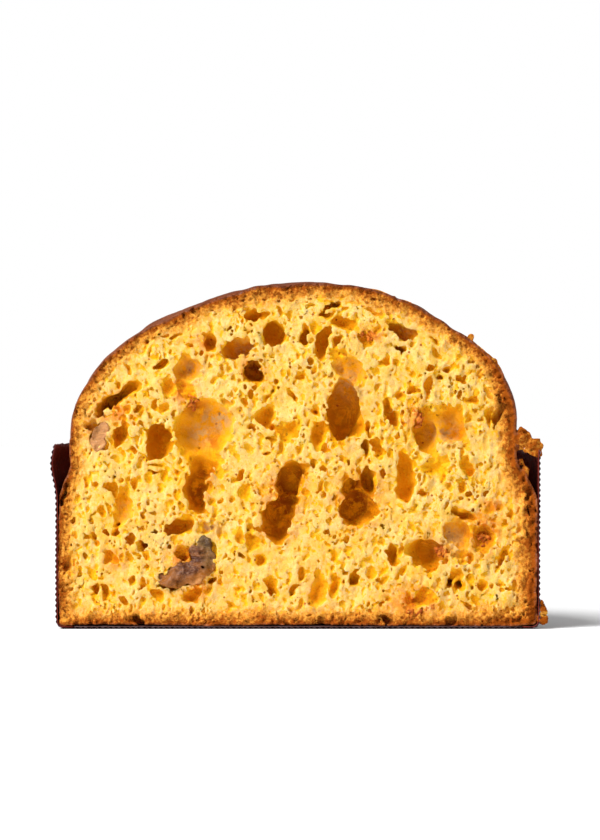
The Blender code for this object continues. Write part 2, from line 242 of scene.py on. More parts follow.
# Lumps of crust, each with its centre, half sizes and tilt: a flap on the right that was torn out
# over the mould's rim, its hanging scraps, and scraps on the dome.
TORN_LUMPS = [
    ((94.6, 2.2, 81.0), (4.4, 4.2, 3.6), -12),
    ((98.8, 2.2, 80.8), (4.4, 3.6, 2.9), -14),
    ((102.4, 2.2, 79.8), (3.4, 2.8, 2.0), -18),
    ((100.2, 1.6, 77.6), (2.8, 1.6, 2.2), 0),
    ((103.4, 1.9, 77.8), (1.2, 1.8, 1.8), 0),
    ((102.4, 1.9, 75.6), (2.3, 2.0, 2.0), 0),
    ((95.2, 1.6, 71.4), (2.0, 1.8, 2.6), 0),
    ((97.2, 1.6, 67.2), (1.8, 1.8, 2.0), 0),
    ((41.6, 1.4, 142.0), (1.8, 1.6, 1.0), -22),
    ((74.0, 1.4, 125.4), (1.8, 1.6, 1.2), -40),
    ((84.0, 1.4, 114.4), (1.4, 1.5, 1.5), -55),
]
# The depth under the skin that torn-out places are painted with: they look half baked.
TORN_SKIN = 3.6

# Caramel: where each heap of crumbs lies.
CLUMPS = [
    ((51.4, 2.0, 91.2), (2.0, 1.4, 4.6), 4),
    ((80.6, 4.4, 37.6), (3.6, 1.4, 3.0), 35),
    ((62.4, 2.0, 33.0), (3.2, 1.3, 1.3), -25),
    ((52.6, 1.8, 8.6), (6.4, 1.4, 2.8), 12),
    ((-45.6, 2.4, 97.4), (2.2, 1.4, 3.6), 25),
    ((31.2, 2.2, 126.0), (4.4, 1.4, 1.6), -20),
]

# The scrap of crust outside the mould's corner.
SCRAP_LOBES = [
    ((105.2, 2.0, 4.4), (2.3, 2.0, 2.2), 10),
    ((105.4, 1.8, 8.2), (1.7, 1.5, 2.6), 15),
    ((104.9, 1.6, 11.2), (0.9, 1.2, 1.3), 0),
    ((106.0, 1.8, 3.4), (1.6, 1.4, 1.4), 0),
]

# The camera and the lights, in metres, watts and watts to a square metre.
CAMERA_X = (0.9 + FRAME_X) * MM
CAMERA_HEIGHT = 0.0899
CAMERA_AWAY = 1.4
VIEW_TALL = 0.3612
SENSOR = 36
SKY = 0.44
SUN = 2.65
SUN_ANGLE = math.radians(22)
SUN_PLACE = (-0.55, -0.45, 1.0)
KEY = 12
KEY_SIZE = 0.35
KEY_PLACE = (-1.0, -0.75, 0.75)
KEY_TARGET = (0, 0, 0.07)


def smoothstep(low, high, value):
    """0 below low, 1 above high, and smooth between them."""
    share = np.clip((value - low) / (high - low), 0, 1)
    return share * share * (3 - 2 * share)


# --- The lattice and its noise ---


def spaced(low, high, step):
    """Evenly spaced places from low to about high."""
    return (low + step * np.arange(int((high - low) / step) + 1)).astype(np.float32)


def spline_weights(places, low, high, size):
    """How much each point of a coarse lattice counts at each place, by a cubic B-spline."""
    share = (places - low) / size
    base = np.floor(share).astype(int)
    t = share - base
    weights = np.zeros((len(places), int((high - low) / size) + 5), np.float32)
    rows = np.arange(len(places))
    quarters = ((1 - t) ** 3, 3 * t**3 - 6 * t**2 + 4, -3 * t**3 + 3 * t**2 + 3 * t + 1, t**3)
    for offset, value in enumerate(quarters):
        weights[rows, base + offset] = value / 6
    used = base.max() + 4
    return weights[:, :used], weights.shape[1]


def lattice_noise(axes, kind, more=0):
    """Smooth noise of about unit spread. It depends only on the place, so lattices agree on it."""
    size, seed = NOISES[kind]
    columns, counts = [], []
    for places, low, high in zip(axes, NOISE_LOW, NOISE_HIGH):
        weights, count = spline_weights(places, low, high, size)
        columns.append(weights)
        counts.append(count)
    values = np.random.default_rng(seed + more).standard_normal(counts, dtype=np.float32)
    wx, wy, wz = columns
    values = values[: wx.shape[1], : wy.shape[1], : wz.shape[1]]
    values = np.tensordot(values, wz, (2, 1))
    values = np.tensordot(values, wy, (1, 1))
    values = np.tensordot(values, wx, (0, 1))
    return 3.0 * values.transpose(2, 1, 0)


# --- The loaf's shape ---


def round_corner(centre, reach, share):
    """A point of a rounded lower corner: the share runs from its side, at 0, to its bottom, at 1."""
    angle = -math.pi / 2 * share
    return centre[0] + reach * math.cos(angle), centre[1] + reach * math.sin(angle)


def loaf_profile():
    """Half the loaf's section, from the top of the dome to the middle of its base."""
    turn = np.linspace(0, math.pi / 2, 50)
    points = list(zip(DOME_RADIUS * np.sin(turn), WAIST_TOP + DOME_HEIGHT * np.cos(turn)))
    points += [(WAIST_RADIUS + 0.3, 79), (WAIST_RADIUS, 75), (WAIST_RADIUS + 0.2, 70.5), (98.6, 67)]
    points += [(100.4, 64), (101.5, 61.5), (LOAF_RADIUS - 0.1, 57), (LOAF_RADIUS, 50)]
    corner = CORNER_RADIUS - BASE_THICK
    centre = (LOAF_RADIUS - corner, LOAF_BASE + corner)
    points += [round_corner(centre, corner, step / 6) for step in range(7)]
    points.append((0, LOAF_BASE))
    return np.array(points)


def profile_table():
    """The distance inside the loaf's section, on a 1 mm table of (radius, height + TABLE_LOW)."""
    outline = loaf_profile()
    radius, height = np.meshgrid(np.arange(TABLE_WIDE), np.arange(TABLE_TALL) - TABLE_LOW, indexing="ij")
    nearest = np.full(radius.shape, 1e9)
    crossings = np.zeros(radius.shape, int)
    for (r0, z0), (r1, z1) in zip(outline[:-1], outline[1:]):
        along_r, along_z = r1 - r0, z1 - z0
        share = ((radius - r0) * along_r + (height - z0) * along_z) / (along_r**2 + along_z**2)
        share = np.clip(share, 0, 1)
        gap = np.hypot(radius - r0 - share * along_r, height - z0 - share * along_z)
        nearest = np.minimum(nearest, gap)
        spans = (z0 > height) != (z1 > height)
        at = r0 + (height - z0) / (z1 - z0 if z1 != z0 else 1) * along_r
        crossings += spans & (radius < at)
    return np.where(crossings % 2 == 1, nearest, -nearest).astype(np.float32)


section = profile_table()


def depth_inside(x, y, z):
    """How far inside the loaf's skin a place is, in millimetres."""
    lean = np.maximum(0, (z - WAIST_TOP) / DOME_HEIGHT)
    neck = np.clip((z - NECK_BASE) / NECK_TALL, 0, 1)
    side = x - NECK_LEFT * neck - (DOME_LEAN - NECK_LEFT) * lean
    radius = np.hypot(side, y - CUT_BEFORE_AXIS)
    column = np.clip(radius, 0, TABLE_WIDE - 1.001)
    row = np.clip(z + TABLE_LOW, 0, TABLE_TALL - 1.001)
    i, j = column.astype(np.int32), row.astype(np.int32)
    u, v = column - i, row - j
    near = section[i, j] * (1 - v) + section[i, j + 1] * v
    far = section[i + 1, j] * (1 - v) + section[i + 1, j + 1] * v
    depth = near * (1 - u) + far * u
    above = np.clip((z - WAIST_TOP) / SWELL_FADE, 0, 1)
    for (cx, cy, cz), reach, height in SWELLS:
        away = ((x - cx) ** 2 + (y - cy) ** 2 + (z - cz) ** 2) / reach**2
        depth = depth + height * above * np.exp(-away / 2)
    return depth


def tilted(x, z, tilt):
    """Turns a place in the cut's plane by some degrees, from x towards z."""
    along, up = math.cos(math.radians(tilt)), math.sin(math.radians(tilt))
    return x * along - z * up, z * along + x * up


def ellipsoid(x, y, z, centre, half, tilt):
    """The distance outside an ellipsoid that is tilted in the cut's plane."""
    dy = y - centre[1]
    u, w = tilted(x - centre[0], z - centre[2], -tilt)
    scaled = np.sqrt((u / half[0]) ** 2 + (dy / half[1]) ** 2 + (w / half[2]) ** 2)
    slope = np.sqrt((u / half[0] ** 2) ** 2 + (dy / half[1] ** 2) ** 2 + (w / half[2] ** 2) ** 2)
    return scaled * (scaled - 1) / np.maximum(slope, 0.05)


class Lattice:
    """A block of places, with the loaf's shape on it."""

    def __init__(self, xs, ys, zs):
        self.axes = (xs, ys, zs)
        self.x, self.y, self.z = np.meshgrid(xs, ys, zs, indexing="ij")
        self.depth = depth_inside(self.x, self.y, self.z)
        self.depth += self.skin_waves()

    def noise(self, kind, more=0):
        return lattice_noise(self.axes, kind, more)

    def skin_waves(self):
        """Waves and wrinkles of the crust. They are stronger on the dome than inside the mould."""
        dome = smoothstep(76, 92, self.axes[2])
        broad = self.noise("skin_broad") * (0.25 + 0.2 * dome)
        middle = self.noise("skin_middle") * (0.12 + 0.16 * dome)
        small = self.noise("skin_small") * (0.08 + 0.08 * dome)
        return broad + middle + small

    def span(self, centre, reach):
        """The slices of the lattice within a reach of a place."""
        slices = []
        for places, middle, far in zip(self.axes, centre, reach):
            low, high = np.searchsorted(places, (middle - far, middle + far))
            slices.append(slice(int(low), int(max(high, low + 1))))
        return tuple(slices)


def carve(field, grid, warped, centre, half, tilt, margin):
    """Takes an ellipsoid out of a field of distances inside the solid."""
    far = max(half[0], half[2]) + margin
    block = grid.span(centre, (far, half[1] + margin, far))
    x, y, z = (each[block] for each in warped)
    gap = ellipsoid(x, y, z, centre, half, tilt)
    np.minimum(field[block], gap, out=field[block])


def value_at(field, grid, places):
    """A field's values at the lattice points nearest to some places."""
    index = [
        np.clip(np.searchsorted(axis, places[:, i]), 0, len(axis) - 1)
        for i, axis in enumerate(grid.axes)
    ]
    return field[tuple(index)]


def cell_shape(half_x, half_z, depth):
    """An ellipsoid whose mouth at the cut has these half sizes: its centre's depth and half sizes."""
    is_dish = depth <= 5 or depth < 0.75 * min(half_x, half_z)
    inward = -0.45 if is_dish else 0.22
    middle, half_y = inward * depth, (1 - inward) * depth
    widen = 1 / math.sqrt(1 - (middle / half_y) ** 2)
    return middle, (half_x * widen, half_y, half_z * widen)


def crumb_lie(x, z, depth):
    """How the pores lie at a place in the crumb: their tilt, and how stretched they are."""
    near_skin = 1 - smoothstep(3, 16, depth)
    outward = math.degrees(math.atan2(z - 40, x * 1.15))
    along_skin = outward - 90
    upright = 90 - np.clip(x, -90, 90) * 0.28
    skin_tilt = along_skin if z > 62 else 90 if depth > 4 or z > 8 else 0
    tilt = skin_tilt if near_skin > 0.45 else upright
    return tilt, 1.25 + 0.55 * near_skin


def scatter_pores(field, hollow, grid, warped, rng, kind, at_walls=False):
    """Packs pores that open to the cut, or to the walls of the big cells, and don't meet each other."""
    tries, sizes, wall, flat = kind
    xs, ys, zs = grid.axes
    if at_walls:
        picks = np.flatnonzero((np.abs(hollow) < sizes[1]) & (grid.y > 0.8) & (grid.y < FINE_DEPTH - 4))
        picks = rng.choice(picks, min(tries, len(picks)), replace=False)
        i, j, k = np.unravel_index(picks, hollow.shape)
        places = np.stack((xs[i], ys[j], zs[k]), axis=1)
    else:
        places = rng.uniform((xs[0], -0.85, zs[0]), (xs[-1], 0.8, zs[-1]), (tries, 3))
        places[:, 1] = CUT_AT + places[:, 1] * sizes[1] * flat
    radii = sizes[0] + (sizes[1] - sizes[0]) * rng.random(len(places)) ** 1.6
    depths = value_at(grid.depth, grid, places)
    radii = np.minimum(radii, 0.3 + 0.17 * depths)
    fits = (depths > 1.3) & (radii > sizes[0] * 0.6)
    fits &= value_at(field, grid, places) > radii * 0.9 + wall
    if not at_walls:
        fits &= value_at(hollow, grid, places) > radii * 0.6 + wall
    places, radii, depths = places[fits], radii[fits], depths[fits]
    shapes = rng.uniform(0.8, 1.25, (len(places), 2))
    turns = rng.normal(0, 18, len(places))
    for place, radius, depth, shape, turn in zip(places, radii, depths, shapes, turns):
        i, j, k = (int(np.searchsorted(a, p)) for a, p in zip(grid.axes, place))
        i, j, k = min(i, len(xs) - 1), min(j, len(ys) - 1), min(k, len(zs) - 1)
        if field[i, j, k] < radius * 0.9 + wall:
            continue
        tilt, stretch = crumb_lie(place[0], place[2], depth)
        half = (radius * stretch * shape[0], flat * radius * shape[1], radius / stretch)
        carve(field, grid, warped, place, half, tilt + turn, wall + sizes[1])


def carve_bread(grid):
    """The bread's field on the fine lattice: more than 0 in the crumb, less in its cells and outside.

    It also gives the distances from the big cells and from the torn surface of the cut.
    """
    rng = np.random.default_rng(PORE_SEED)
    places = (grid.x, grid.y, grid.z)
    waves = [1.1 * grid.noise("cell_warp", i) for i in range(3)]
    ripples = [0.42 * grid.noise("pore_warp", i) for i in range(3)]
    near = [place + wave + ripple for place, wave, ripple in zip(places, waves, ripples)]
    hollow = np.full(grid.x.shape, FAR, np.float32)
    for x, z, half_x, half_z, tilt, depth in CELLS:
        middle, half = cell_shape(half_x, half_z, depth)
        carve(hollow, grid, near, (x, middle, z), half, tilt, 7.0)
    pores = np.full(grid.x.shape, FAR, np.float32)
    small = [place + ripple for place, ripple in zip(places, ripples)]
    del waves, near
    for kind in PORES:
        scatter_pores(pores, hollow, grid, small, rng, kind)
    scatter_pores(pores, hollow, grid, small, rng, WALL_PORES, at_walls=True)
    dimples = np.full(grid.x.shape, FAR, np.float32)
    scatter_pores(dimples, hollow, grid, small, rng, DIMPLES)
    pores = np.minimum(pores, dimples)
    for centre, half, tilt in FIG_LOBES + LEFT_FIG_LOBES:
        mouth = (centre[0], 1.5, centre[2])
        grown = (half[0] + FIG_GAP, centre[1] + half[1], half[2] + FIG_GAP)
        carve(pores, grid, small, mouth, grown, tilt, 2.0)
    del small, ripples, dimples

    # The cut's surface: a torn, crumbly plane. The tear is roughest in the crust and at its edges.
    fine = grid.noise("fine")
    crumble = grid.noise("crumble")
    grain = grid.noise("grain")
    crusty = 1 - smoothstep(2.5, 8.5, grid.depth + 1.6 * grain - 2.2 * smoothstep(70, 95, grid.x))
    swell = grid.noise("swell")
    xs, ys, zs = grid.axes
    threads = lattice_noise((xs, ys, 0.4 * zs), "threads") * (0.14 + 0.2 * smoothstep(30, 60, grid.x))
    cut = grid.y - CUT_AT - 0.4 * swell - 0.16 * grain - threads
    cut -= (0.16 + 0.22 * crusty) * fine + (0.10 + 0.42 * crusty) * crumble
    near_cut = 1 - smoothstep(1.0, 4.5, grid.y)
    hollow_edge = hollow - (0.5 * crumble + 0.35 * fine) * near_cut
    openings = 0.42 * (2.8 - 2.1 * crusty - crumble) + 0.8 * smoothstep(0.9, 2.6, grid.y)
    openings += 2.0 * (1 - smoothstep(0.3, 1.1, grid.depth))
    solid = np.minimum(np.minimum(grid.depth, cut), np.minimum(hollow_edge, pores))
    solid = np.minimum(solid, openings)
    rough = (0.06 + (0.10 + 0.18 * crusty) * near_cut) * smoothstep(0.3, 1.2, grid.depth)
    solid += rough * fine
    return solid, hollow, cut


# --- Drawing a mesh over a lattice ---

CUBE_CORNERS = [(i, j, k) for i in (0, 1) for j in (0, 1) for k in (0, 1)]
CUBE_EDGES = [
    (a, b)
    for a in range(8)
    for b in range(a + 1, 8)
    if sum(abs(p - q) for p, q in zip(CUBE_CORNERS[a], CUBE_CORNERS[b])) == 1
]


def surface_net(field, axes):
    """The surface where a field is 0: one vertex in each cube that it crosses, and faces of four."""
    inside = field > 0
    count = np.zeros(tuple(n - 1 for n in field.shape), np.int8)
    for i, j, k in CUBE_CORNERS:
        count += inside[i : i + count.shape[0], j : j + count.shape[1], k : k + count.shape[2]]
    cubes = np.argwhere((count > 0) & (count < 8))
    number = np.full(count.shape, -1, np.int32)
    number[tuple(cubes.T)] = np.arange(len(cubes))
    corners = [field[tuple((cubes + corner).T)] for corner in CUBE_CORNERS]
    total = np.zeros((len(cubes), 3), np.float32)
    crossed = np.zeros(len(cubes), np.float32)
    for a, b in CUBE_EDGES:
        hit = (corners[a] > 0) != (corners[b] > 0)
        va, vb = corners[a][hit], corners[b][hit]
        share = (va / (va - vb))[:, None]
        start, end = np.array(CUBE_CORNERS[a]), np.array(CUBE_CORNERS[b])
        total[hit] += start + (end - start) * share
        crossed[hit] += 1
    within = total / crossed[:, None]
    verts = np.empty((len(cubes), 3), np.float32)
    for i, axis in enumerate(axes):
        low = axis[cubes[:, i]]
        verts[:, i] = low + within[:, i] * (axis[cubes[:, i] + 1] - low)

    faces = []
    for way in range(3):
        u, v = (way + 1) % 3, (way + 2) % 3
        cut = [slice(None)] * 3
        cut[u], cut[v] = slice(1, -1), slice(1, -1)
        low, high = list(cut), list(cut)
        low[way], high[way] = slice(None, -1), slice(1, None)
        first, second = inside[tuple(low)], inside[tuple(high)]
        for flips, mask in ((False, first & ~second), (True, ~first & second)):
            at = np.argwhere(mask)
            ring = []
            for du, dv in ((0, 0), (1, 0), (1, 1), (0, 1)):
                step = at.copy()
                step[:, u] += du
                step[:, v] += dv
                ring.append(number[tuple(step.T)])
            quads = np.stack(ring, axis=1)
            faces.append(quads[:, ::-1] if flips else quads)
    return verts, np.concatenate(faces)


def sides(faces):
    """The directed edges of some faces of four, each as two vertices."""
    return np.concatenate([faces[:, (i, (i + 1) % 4)] for i in range(4)])


def relax(verts, faces, share, times):
    """Moves each vertex a share of the way to its neighbours' middle, to calm the lattice's steps."""
    pairs = sides(faces)
    uses = np.bincount(pairs[:, 0], minlength=len(verts)).astype(np.float32)
    for _ in range(times):
        middle = np.stack(
            [np.bincount(pairs[:, 0], verts[pairs[:, 1], i], len(verts)) / uses for i in range(3)],
            axis=1,
        )
        verts = verts + share * (middle - verts)
    return verts.astype(np.float32)


def biggest_part(verts, faces):
    """The largest connected piece of a mesh. The rest is closed pores and loose crumbs."""
    label = np.arange(len(verts))
    pairs = sides(faces)
    while True:
        before = label.copy()
        low = np.minimum(label[pairs[:, 0]], label[pairs[:, 1]])
        np.minimum.at(label, pairs[:, 0], low)
        np.minimum.at(label, pairs[:, 1], low)
        for _ in range(4):
            label = label[label]
        if np.array_equal(before, label):
            break
    names, sizes = np.unique(label, return_counts=True)
    keep = label == names[sizes.argmax()]
    renumber = np.cumsum(keep) - 1
    return verts[keep], renumber[faces[keep[faces[:, 0]]]]


def open_loop(faces):
    """The vertices round a mesh's one open edge, in order."""
    edges = sides(faces)
    ordered = np.sort(edges, axis=1)
    key = ordered[:, 0].astype(np.int64) * (faces.max() + 1) + ordered[:, 1]
    _, index, uses = np.unique(key, return_index=True, return_counts=True)
    follows = dict(edges[index[uses == 1]].tolist())
    start = max(follows)
    loop, at = [start], follows[start]
    while at != start and len(loop) <= len(follows):
        loop.append(at)
        at = follows[at]
    return loop


def zip_loops(verts, first, second):
    """Triangles that join two rings of vertices round the loaf. Both are sorted by their angle."""
    middle = np.array([0.0, 60.0])

    def turn(ring):
        """The ring from its least angle once round to the same vertex, and its angles."""
        flat = verts[ring][:, (0, 2)] - middle
        angles = np.arctan2(flat[:, 1], flat[:, 0])
        if np.sum(np.diff(angles) > 0) < len(ring) / 2:
            ring, angles = ring[::-1], angles[::-1]
        start = int(np.argmin(angles))
        angles = np.roll(angles, -start)
        ring = [*ring[start:], *ring[: start + 1]]
        return ring, np.append(angles, angles[0] + 2 * math.pi)

    first, a = turn(first)
    second, b = turn(second)
    triangles = []
    i = j = 0
    while i < len(first) - 1 or j < len(second) - 1:
        if j == len(second) - 1 or (i < len(first) - 1 and a[i + 1] <= b[j + 1]):
            triangles.append((first[i], first[i + 1], second[j]))
            i += 1
        else:
            triangles.append((first[i], second[j + 1], second[j]))
            j += 1
    return triangles


# --- Putting pieces in the scene ---


def to_frame(points):
    """Places in the cut frame, in millimetres, as places in the CAD's frame, in metres."""
    moved = np.array(points, dtype=np.float64)
    moved += (FRAME_X, FRAME_Y, 0)
    return moved * MM


def put_in_scene(name, data):
    """A new object in the scene, from a mesh, a light or a camera."""
    obj = bpy.data.objects.new(name, data)
    bpy.context.scene.collection.objects.link(obj)
    return obj


def piece(name, verts, faces, finish, node):
    """A piece of the object that stands for a CAD node."""
    mesh = bpy.data.meshes.new(name)
    mesh.from_pydata(to_frame(verts).tolist(), [], faces)
    mesh.validate()
    mesh.materials.append(finish)
    mesh.shade_smooth()
    obj = put_in_scene(name, mesh)
    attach(obj, "root")
    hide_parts(node)
    return obj


def paint(mesh, name, values):
    """Keeps a number for each vertex, for the materials to read."""
    layer = mesh.attributes.new(name, "FLOAT", "POINT")
    layer.data.foreach_set("value", np.asarray(values, np.float32))


def spots(x, z, places):
    """How strongly a list of soft spots covers each place."""
    cover = np.zeros(len(x))
    for cx, cz, half_x, half_z, strength in places:
        away = ((x - cx) / half_x) ** 2 + ((z - cz) / half_z) ** 2
        cover = np.maximum(cover, strength * np.exp(-away * 1.2))
    return cover


# --- Materials ---


class Finish:
    """A node material under construction."""

    def __init__(self, name):
        self.material = bpy.data.materials.new(name)
        self.material.use_nodes = True
        self.tree = self.material.node_tree
        self.shader = self.tree.nodes["Principled BSDF"]
        self.coords = self.tree.nodes.new("ShaderNodeTexCoord").outputs["Object"]

    def node(self, kind, inputs, **settings):
        """A new node. Its inputs are numbers and colours, or the outputs of other nodes."""
        made = self.tree.nodes.new("ShaderNode" + kind)
        for name, value in settings.items():
            setattr(made, name, value)
        for name, value in inputs.items():
            self.socket(made.inputs[name], value)
        return made

    def socket(self, target, value):
        if isinstance(value, bpy.types.NodeSocket):
            self.tree.links.new(value, target)
        else:
            target.default_value = value

    def noise(self, scale, detail=2.0, rough=0.5, stretch=(1, 1, 1)):
        """Noise with this many waves to a metre."""
        place = self.node("Mapping", {"Vector": self.coords, "Scale": stretch}).outputs["Vector"]
        inputs = {"Vector": place, "Scale": scale, "Detail": detail, "Roughness": rough}
        return self.node("TexNoise", inputs).outputs["Fac"]

    def cells(self, scale):
        """The distance from the nearest of some scattered points, this many of them to a metre."""
        return self.node("TexVoronoi", {"Vector": self.coords, "Scale": scale}).outputs["Distance"]

    def attribute(self, name):
        return self.node("Attribute", {}, attribute_name=name).outputs["Fac"]

    def ramp(self, value, low, high, to_low=0.0, to_high=1.0):
        """Takes a value from one range to another, smoothly and clamped."""
        inputs = dict(enumerate((value, low, high, to_low, to_high)))
        return self.node("MapRange", inputs, interpolation_type="SMOOTHSTEP").outputs["Result"]

    def maths(self, operation, first, second):
        return self.node("Math", {0: first, 1: second}, operation=operation).outputs[0]

    def about_zero(self, value, spread):
        """Moves a value of 0 to 1 so that it lies about 0 with this spread."""
        return self.maths("MULTIPLY", self.maths("SUBTRACT", value, 0.5), spread)

    def mix(self, share, first, second):
        """Goes from the first colour to the second as the share goes from 0 to 1."""
        first, second = ((*c, 1) if isinstance(c, tuple) else c for c in (first, second))
        return self.node("Mix", {0: share, 6: first, 7: second}, data_type="RGBA").outputs[2]

    def bump(self, height, distance, strength):
        inputs = {"Strength": strength, "Distance": distance, "Height": height}
        return self.node("Bump", inputs).outputs["Normal"]

    def surface(self, **sockets):
        """Sets sockets of the shader by name, such as base_color. The material is then done."""
        for name, value in sockets.items():
            title = name.replace("_", " ").title().replace("Ior", "IOR")
            self.socket(self.shader.inputs[title], value)
        return self.material


def bread_finish():
    """Golden crumb with painted shade in pores and cells, and dark crust. Reads skin and cut depths, and
    stains.
    """
    f = Finish("bread")
    broad = f.noise(70, 2)
    middle = f.noise(260, 3)
    fine = f.noise(1100, 3, 0.6)
    grain = f.noise(1500, 3, 0.65)
    pale = f.mix(f.ramp(broad, 0.38, 0.62), (0.93, 0.54, 0.10), (0.93, 0.60, 0.17))
    pale = f.mix(f.ramp(middle, 0.40, 0.66, 0, 0.8), pale, (0.93, 0.66, 0.27))
    golden = f.mix(f.ramp(broad, 0.38, 0.62), (0.95, 0.47, 0.008), (0.95, 0.51, 0.022))
    # Painted shade: the crumb is painted deeper orange the further it lies below the cut, deepest in the
    # pores.
    low = f.maths("ADD", f.attribute("cut_depth"), f.ramp(grain, 0.36, 0.64, 0.15, -0.15))
    crumb = f.mix(f.ramp(low, 0.15, 0.9), pale, golden)
    crumb = f.mix(f.ramp(low, 0.9, 2.8, 0, 0.85), crumb, (0.95, 0.38, 0.005))
    crumb = f.mix(f.ramp(fine, 0.50, 0.68, 0, 0.5), crumb, (0.93, 0.47, 0.04))
    # Painted shade: the walls of the deep cells are painted darker brown.
    hollow = f.attribute("hollow")
    crumb = f.mix(f.maths("MULTIPLY", hollow, 0.85), crumb, (0.74, 0.26, 0.003))
    specks = f.ramp(f.cells(620), 0.10, 0.16, 1, 0)
    specks = f.maths("MULTIPLY", specks, f.ramp(f.noise(90, 1), 0.5, 0.62))
    crumb = f.mix(f.maths("MULTIPLY", specks, 0.5), crumb, (0.24, 0.07, 0.006))
    seeds = f.ramp(f.cells(150), 0.06, 0.10, 1, 0)
    crumb = f.mix(f.maths("MULTIPLY", seeds, 0.8), crumb, (0.36, 0.05, 0.006))

    fig = f.attribute("fig_stain")
    fig = f.maths("MULTIPLY", fig, f.ramp(f.noise(330, 3, 0.6), 0.36, 0.62))
    crumb = f.mix(fig, crumb, (0.60, 0.36, 0.15))
    caramel = f.attribute("caramel_stain")
    caramel = f.maths("MULTIPLY", caramel, f.ramp(f.noise(240, 4, 0.62), 0.36, 0.54))
    # Real caramel stains, with painted shade: they are painted darker red-brown in the deep cells.
    caramel_and_cell_shade = f.mix(hollow, (0.72, 0.18, 0.010), (0.25, 0.044, 0.003))
    crumb = f.mix(caramel, crumb, caramel_and_cell_shade)

    skin = f.attribute("skin_depth")
    uneven = f.about_zero(f.noise(140, 4, 0.6), 9.0)
    specked = f.about_zero(f.noise(900, 3, 0.6), 11.0)
    depth = f.maths("ADD", f.maths("ADD", skin, uneven), specked)
    place = f.node("SeparateXYZ", {0: f.coords})
    depth = f.maths("SUBTRACT", depth, f.ramp(place.outputs["X"], 0.070, 0.095, 0, 2.2))
    baked = f.mix(f.ramp(depth, 3.6, 9.5, 1, 0), crumb, (0.85, 0.36, 0.045))
    baked = f.mix(f.ramp(depth, 0.6, 5.6, 1, 0), baked, (0.36, 0.082, 0.007))
    blotches = f.ramp(f.noise(55, 4, 0.6), 0.35, 0.68)
    crust = f.mix(blotches, (0.19, 0.040, 0.006), (0.31, 0.080, 0.012))
    crust = f.mix(f.ramp(place.outputs["Z"], 0.095, 0.150, 0, 0.6), crust, (0.15, 0.028, 0.004))
    crust = f.mix(f.ramp(f.noise(420, 3, 0.6), 0.50, 0.70, 0, 0.6), crust, (0.10, 0.020, 0.003))
    edge = f.maths("ADD", skin, f.about_zero(fine, 2.4))
    baked = f.mix(f.ramp(edge, 0.3, 1.2, 1, 0), baked, crust)
    rise = f.maths("ADD", f.maths("MULTIPLY", middle, 0.6), f.maths("MULTIPLY", grain, 0.6))
    return f.surface(
        base_color=baked,
        roughness=f.ramp(skin, 0.3, 1.5, 0.5, 0.95),
        coat_weight=f.ramp(skin, 0.4, 1.2, 0.4, 0),
        subsurface_weight=f.ramp(skin, 2.0, 7.0, 0.05, 0.40),
        normal=f.bump(rise, 0.0017, 1.0),
        specular_ior_level=0.0,
        coat_roughness=0.42,
        subsurface_scale=0.0013,
        subsurface_radius=(1.0, 0.7, 0.3),
    )


def paper_finish():
    """Dark red-brown mould paper, greasy, with a painted highlight in flecks along its flutes' cut edge.
    """
    f = Finish("mould_paper")
    base = f.mix(f.ramp(f.noise(60, 3), 0.36, 0.66), (0.14, 0.010, 0.004), (0.23, 0.018, 0.008))
    base = f.mix(f.ramp(f.noise(900, 3, 0.65), 0.54, 0.74, 0, 0.3), base, (0.17, 0.10, 0.12))
    base = f.mix(f.attribute("outside"), base, (0.052, 0.016, 0.013))
    # Painted highlight: pale purple-grey flecks along the flutes' cut edge.
    edge_highlight = f.maths("MULTIPLY", f.attribute("cut_edge_highlight"), f.ramp(f.noise(500, 2), 0.42, 0.6, 0.15, 1))
    base = f.mix(edge_highlight, base, (0.24, 0.16, 0.18))
    grease = f.ramp(f.noise(110, 3), 0.45, 0.62)
    return f.surface(
        base_color=base,
        roughness=f.ramp(grease, 0, 1, 0.66, 0.4),
        normal=f.bump(f.noise(1600, 3, 0.6, (1, 1, 0.25)), 0.0003, 0.6),
        specular_ior_level=0.3,
    )


def fig_finish():
    """Moist candied fig: streaked brown flesh, amber where thin, with a greener, clearer skin."""
    f = Finish("candied_fig")
    streaks = f.noise(240, 4, 0.6, (0.5, 1, 1.6))
    flesh = f.mix(f.ramp(streaks, 0.38, 0.62), (0.085, 0.021, 0.005), (0.24, 0.085, 0.022))
    flesh = f.mix(f.ramp(f.noise(900, 2), 0.50, 0.68, 0, 0.5), flesh, (0.34, 0.17, 0.09))
    flesh = f.mix(f.maths("MULTIPLY", f.attribute("olive"), 0.7), flesh, (0.24, 0.12, 0.030))
    skin_side = f.mix(f.ramp(streaks, 0.4, 0.62), (0.080, 0.036, 0.008), (0.24, 0.14, 0.045))
    flesh = f.mix(f.attribute("skin_side"), flesh, skin_side)
    flesh = f.mix(f.attribute("amber"), flesh, (0.30, 0.095, 0.005))
    flesh = f.mix(f.attribute("pale"), flesh, f.mix(streaks, (0.42, 0.12, 0.025), (0.85, 0.45, 0.15)))
    return f.surface(
        base_color=flesh,
        roughness=f.ramp(f.noise(500, 3), 0.35, 0.65, 0.24, 0.46),
        normal=f.bump(f.noise(520, 4, 0.6, (0.5, 1, 1.6)), 0.0018, 0.9),
        subsurface_weight=0.12,
        subsurface_scale=0.0015,
        subsurface_radius=(1.0, 0.5, 0.2),
        specular_ior_level=0.25,
        coat_weight=0.12,
        coat_roughness=0.25,
    )


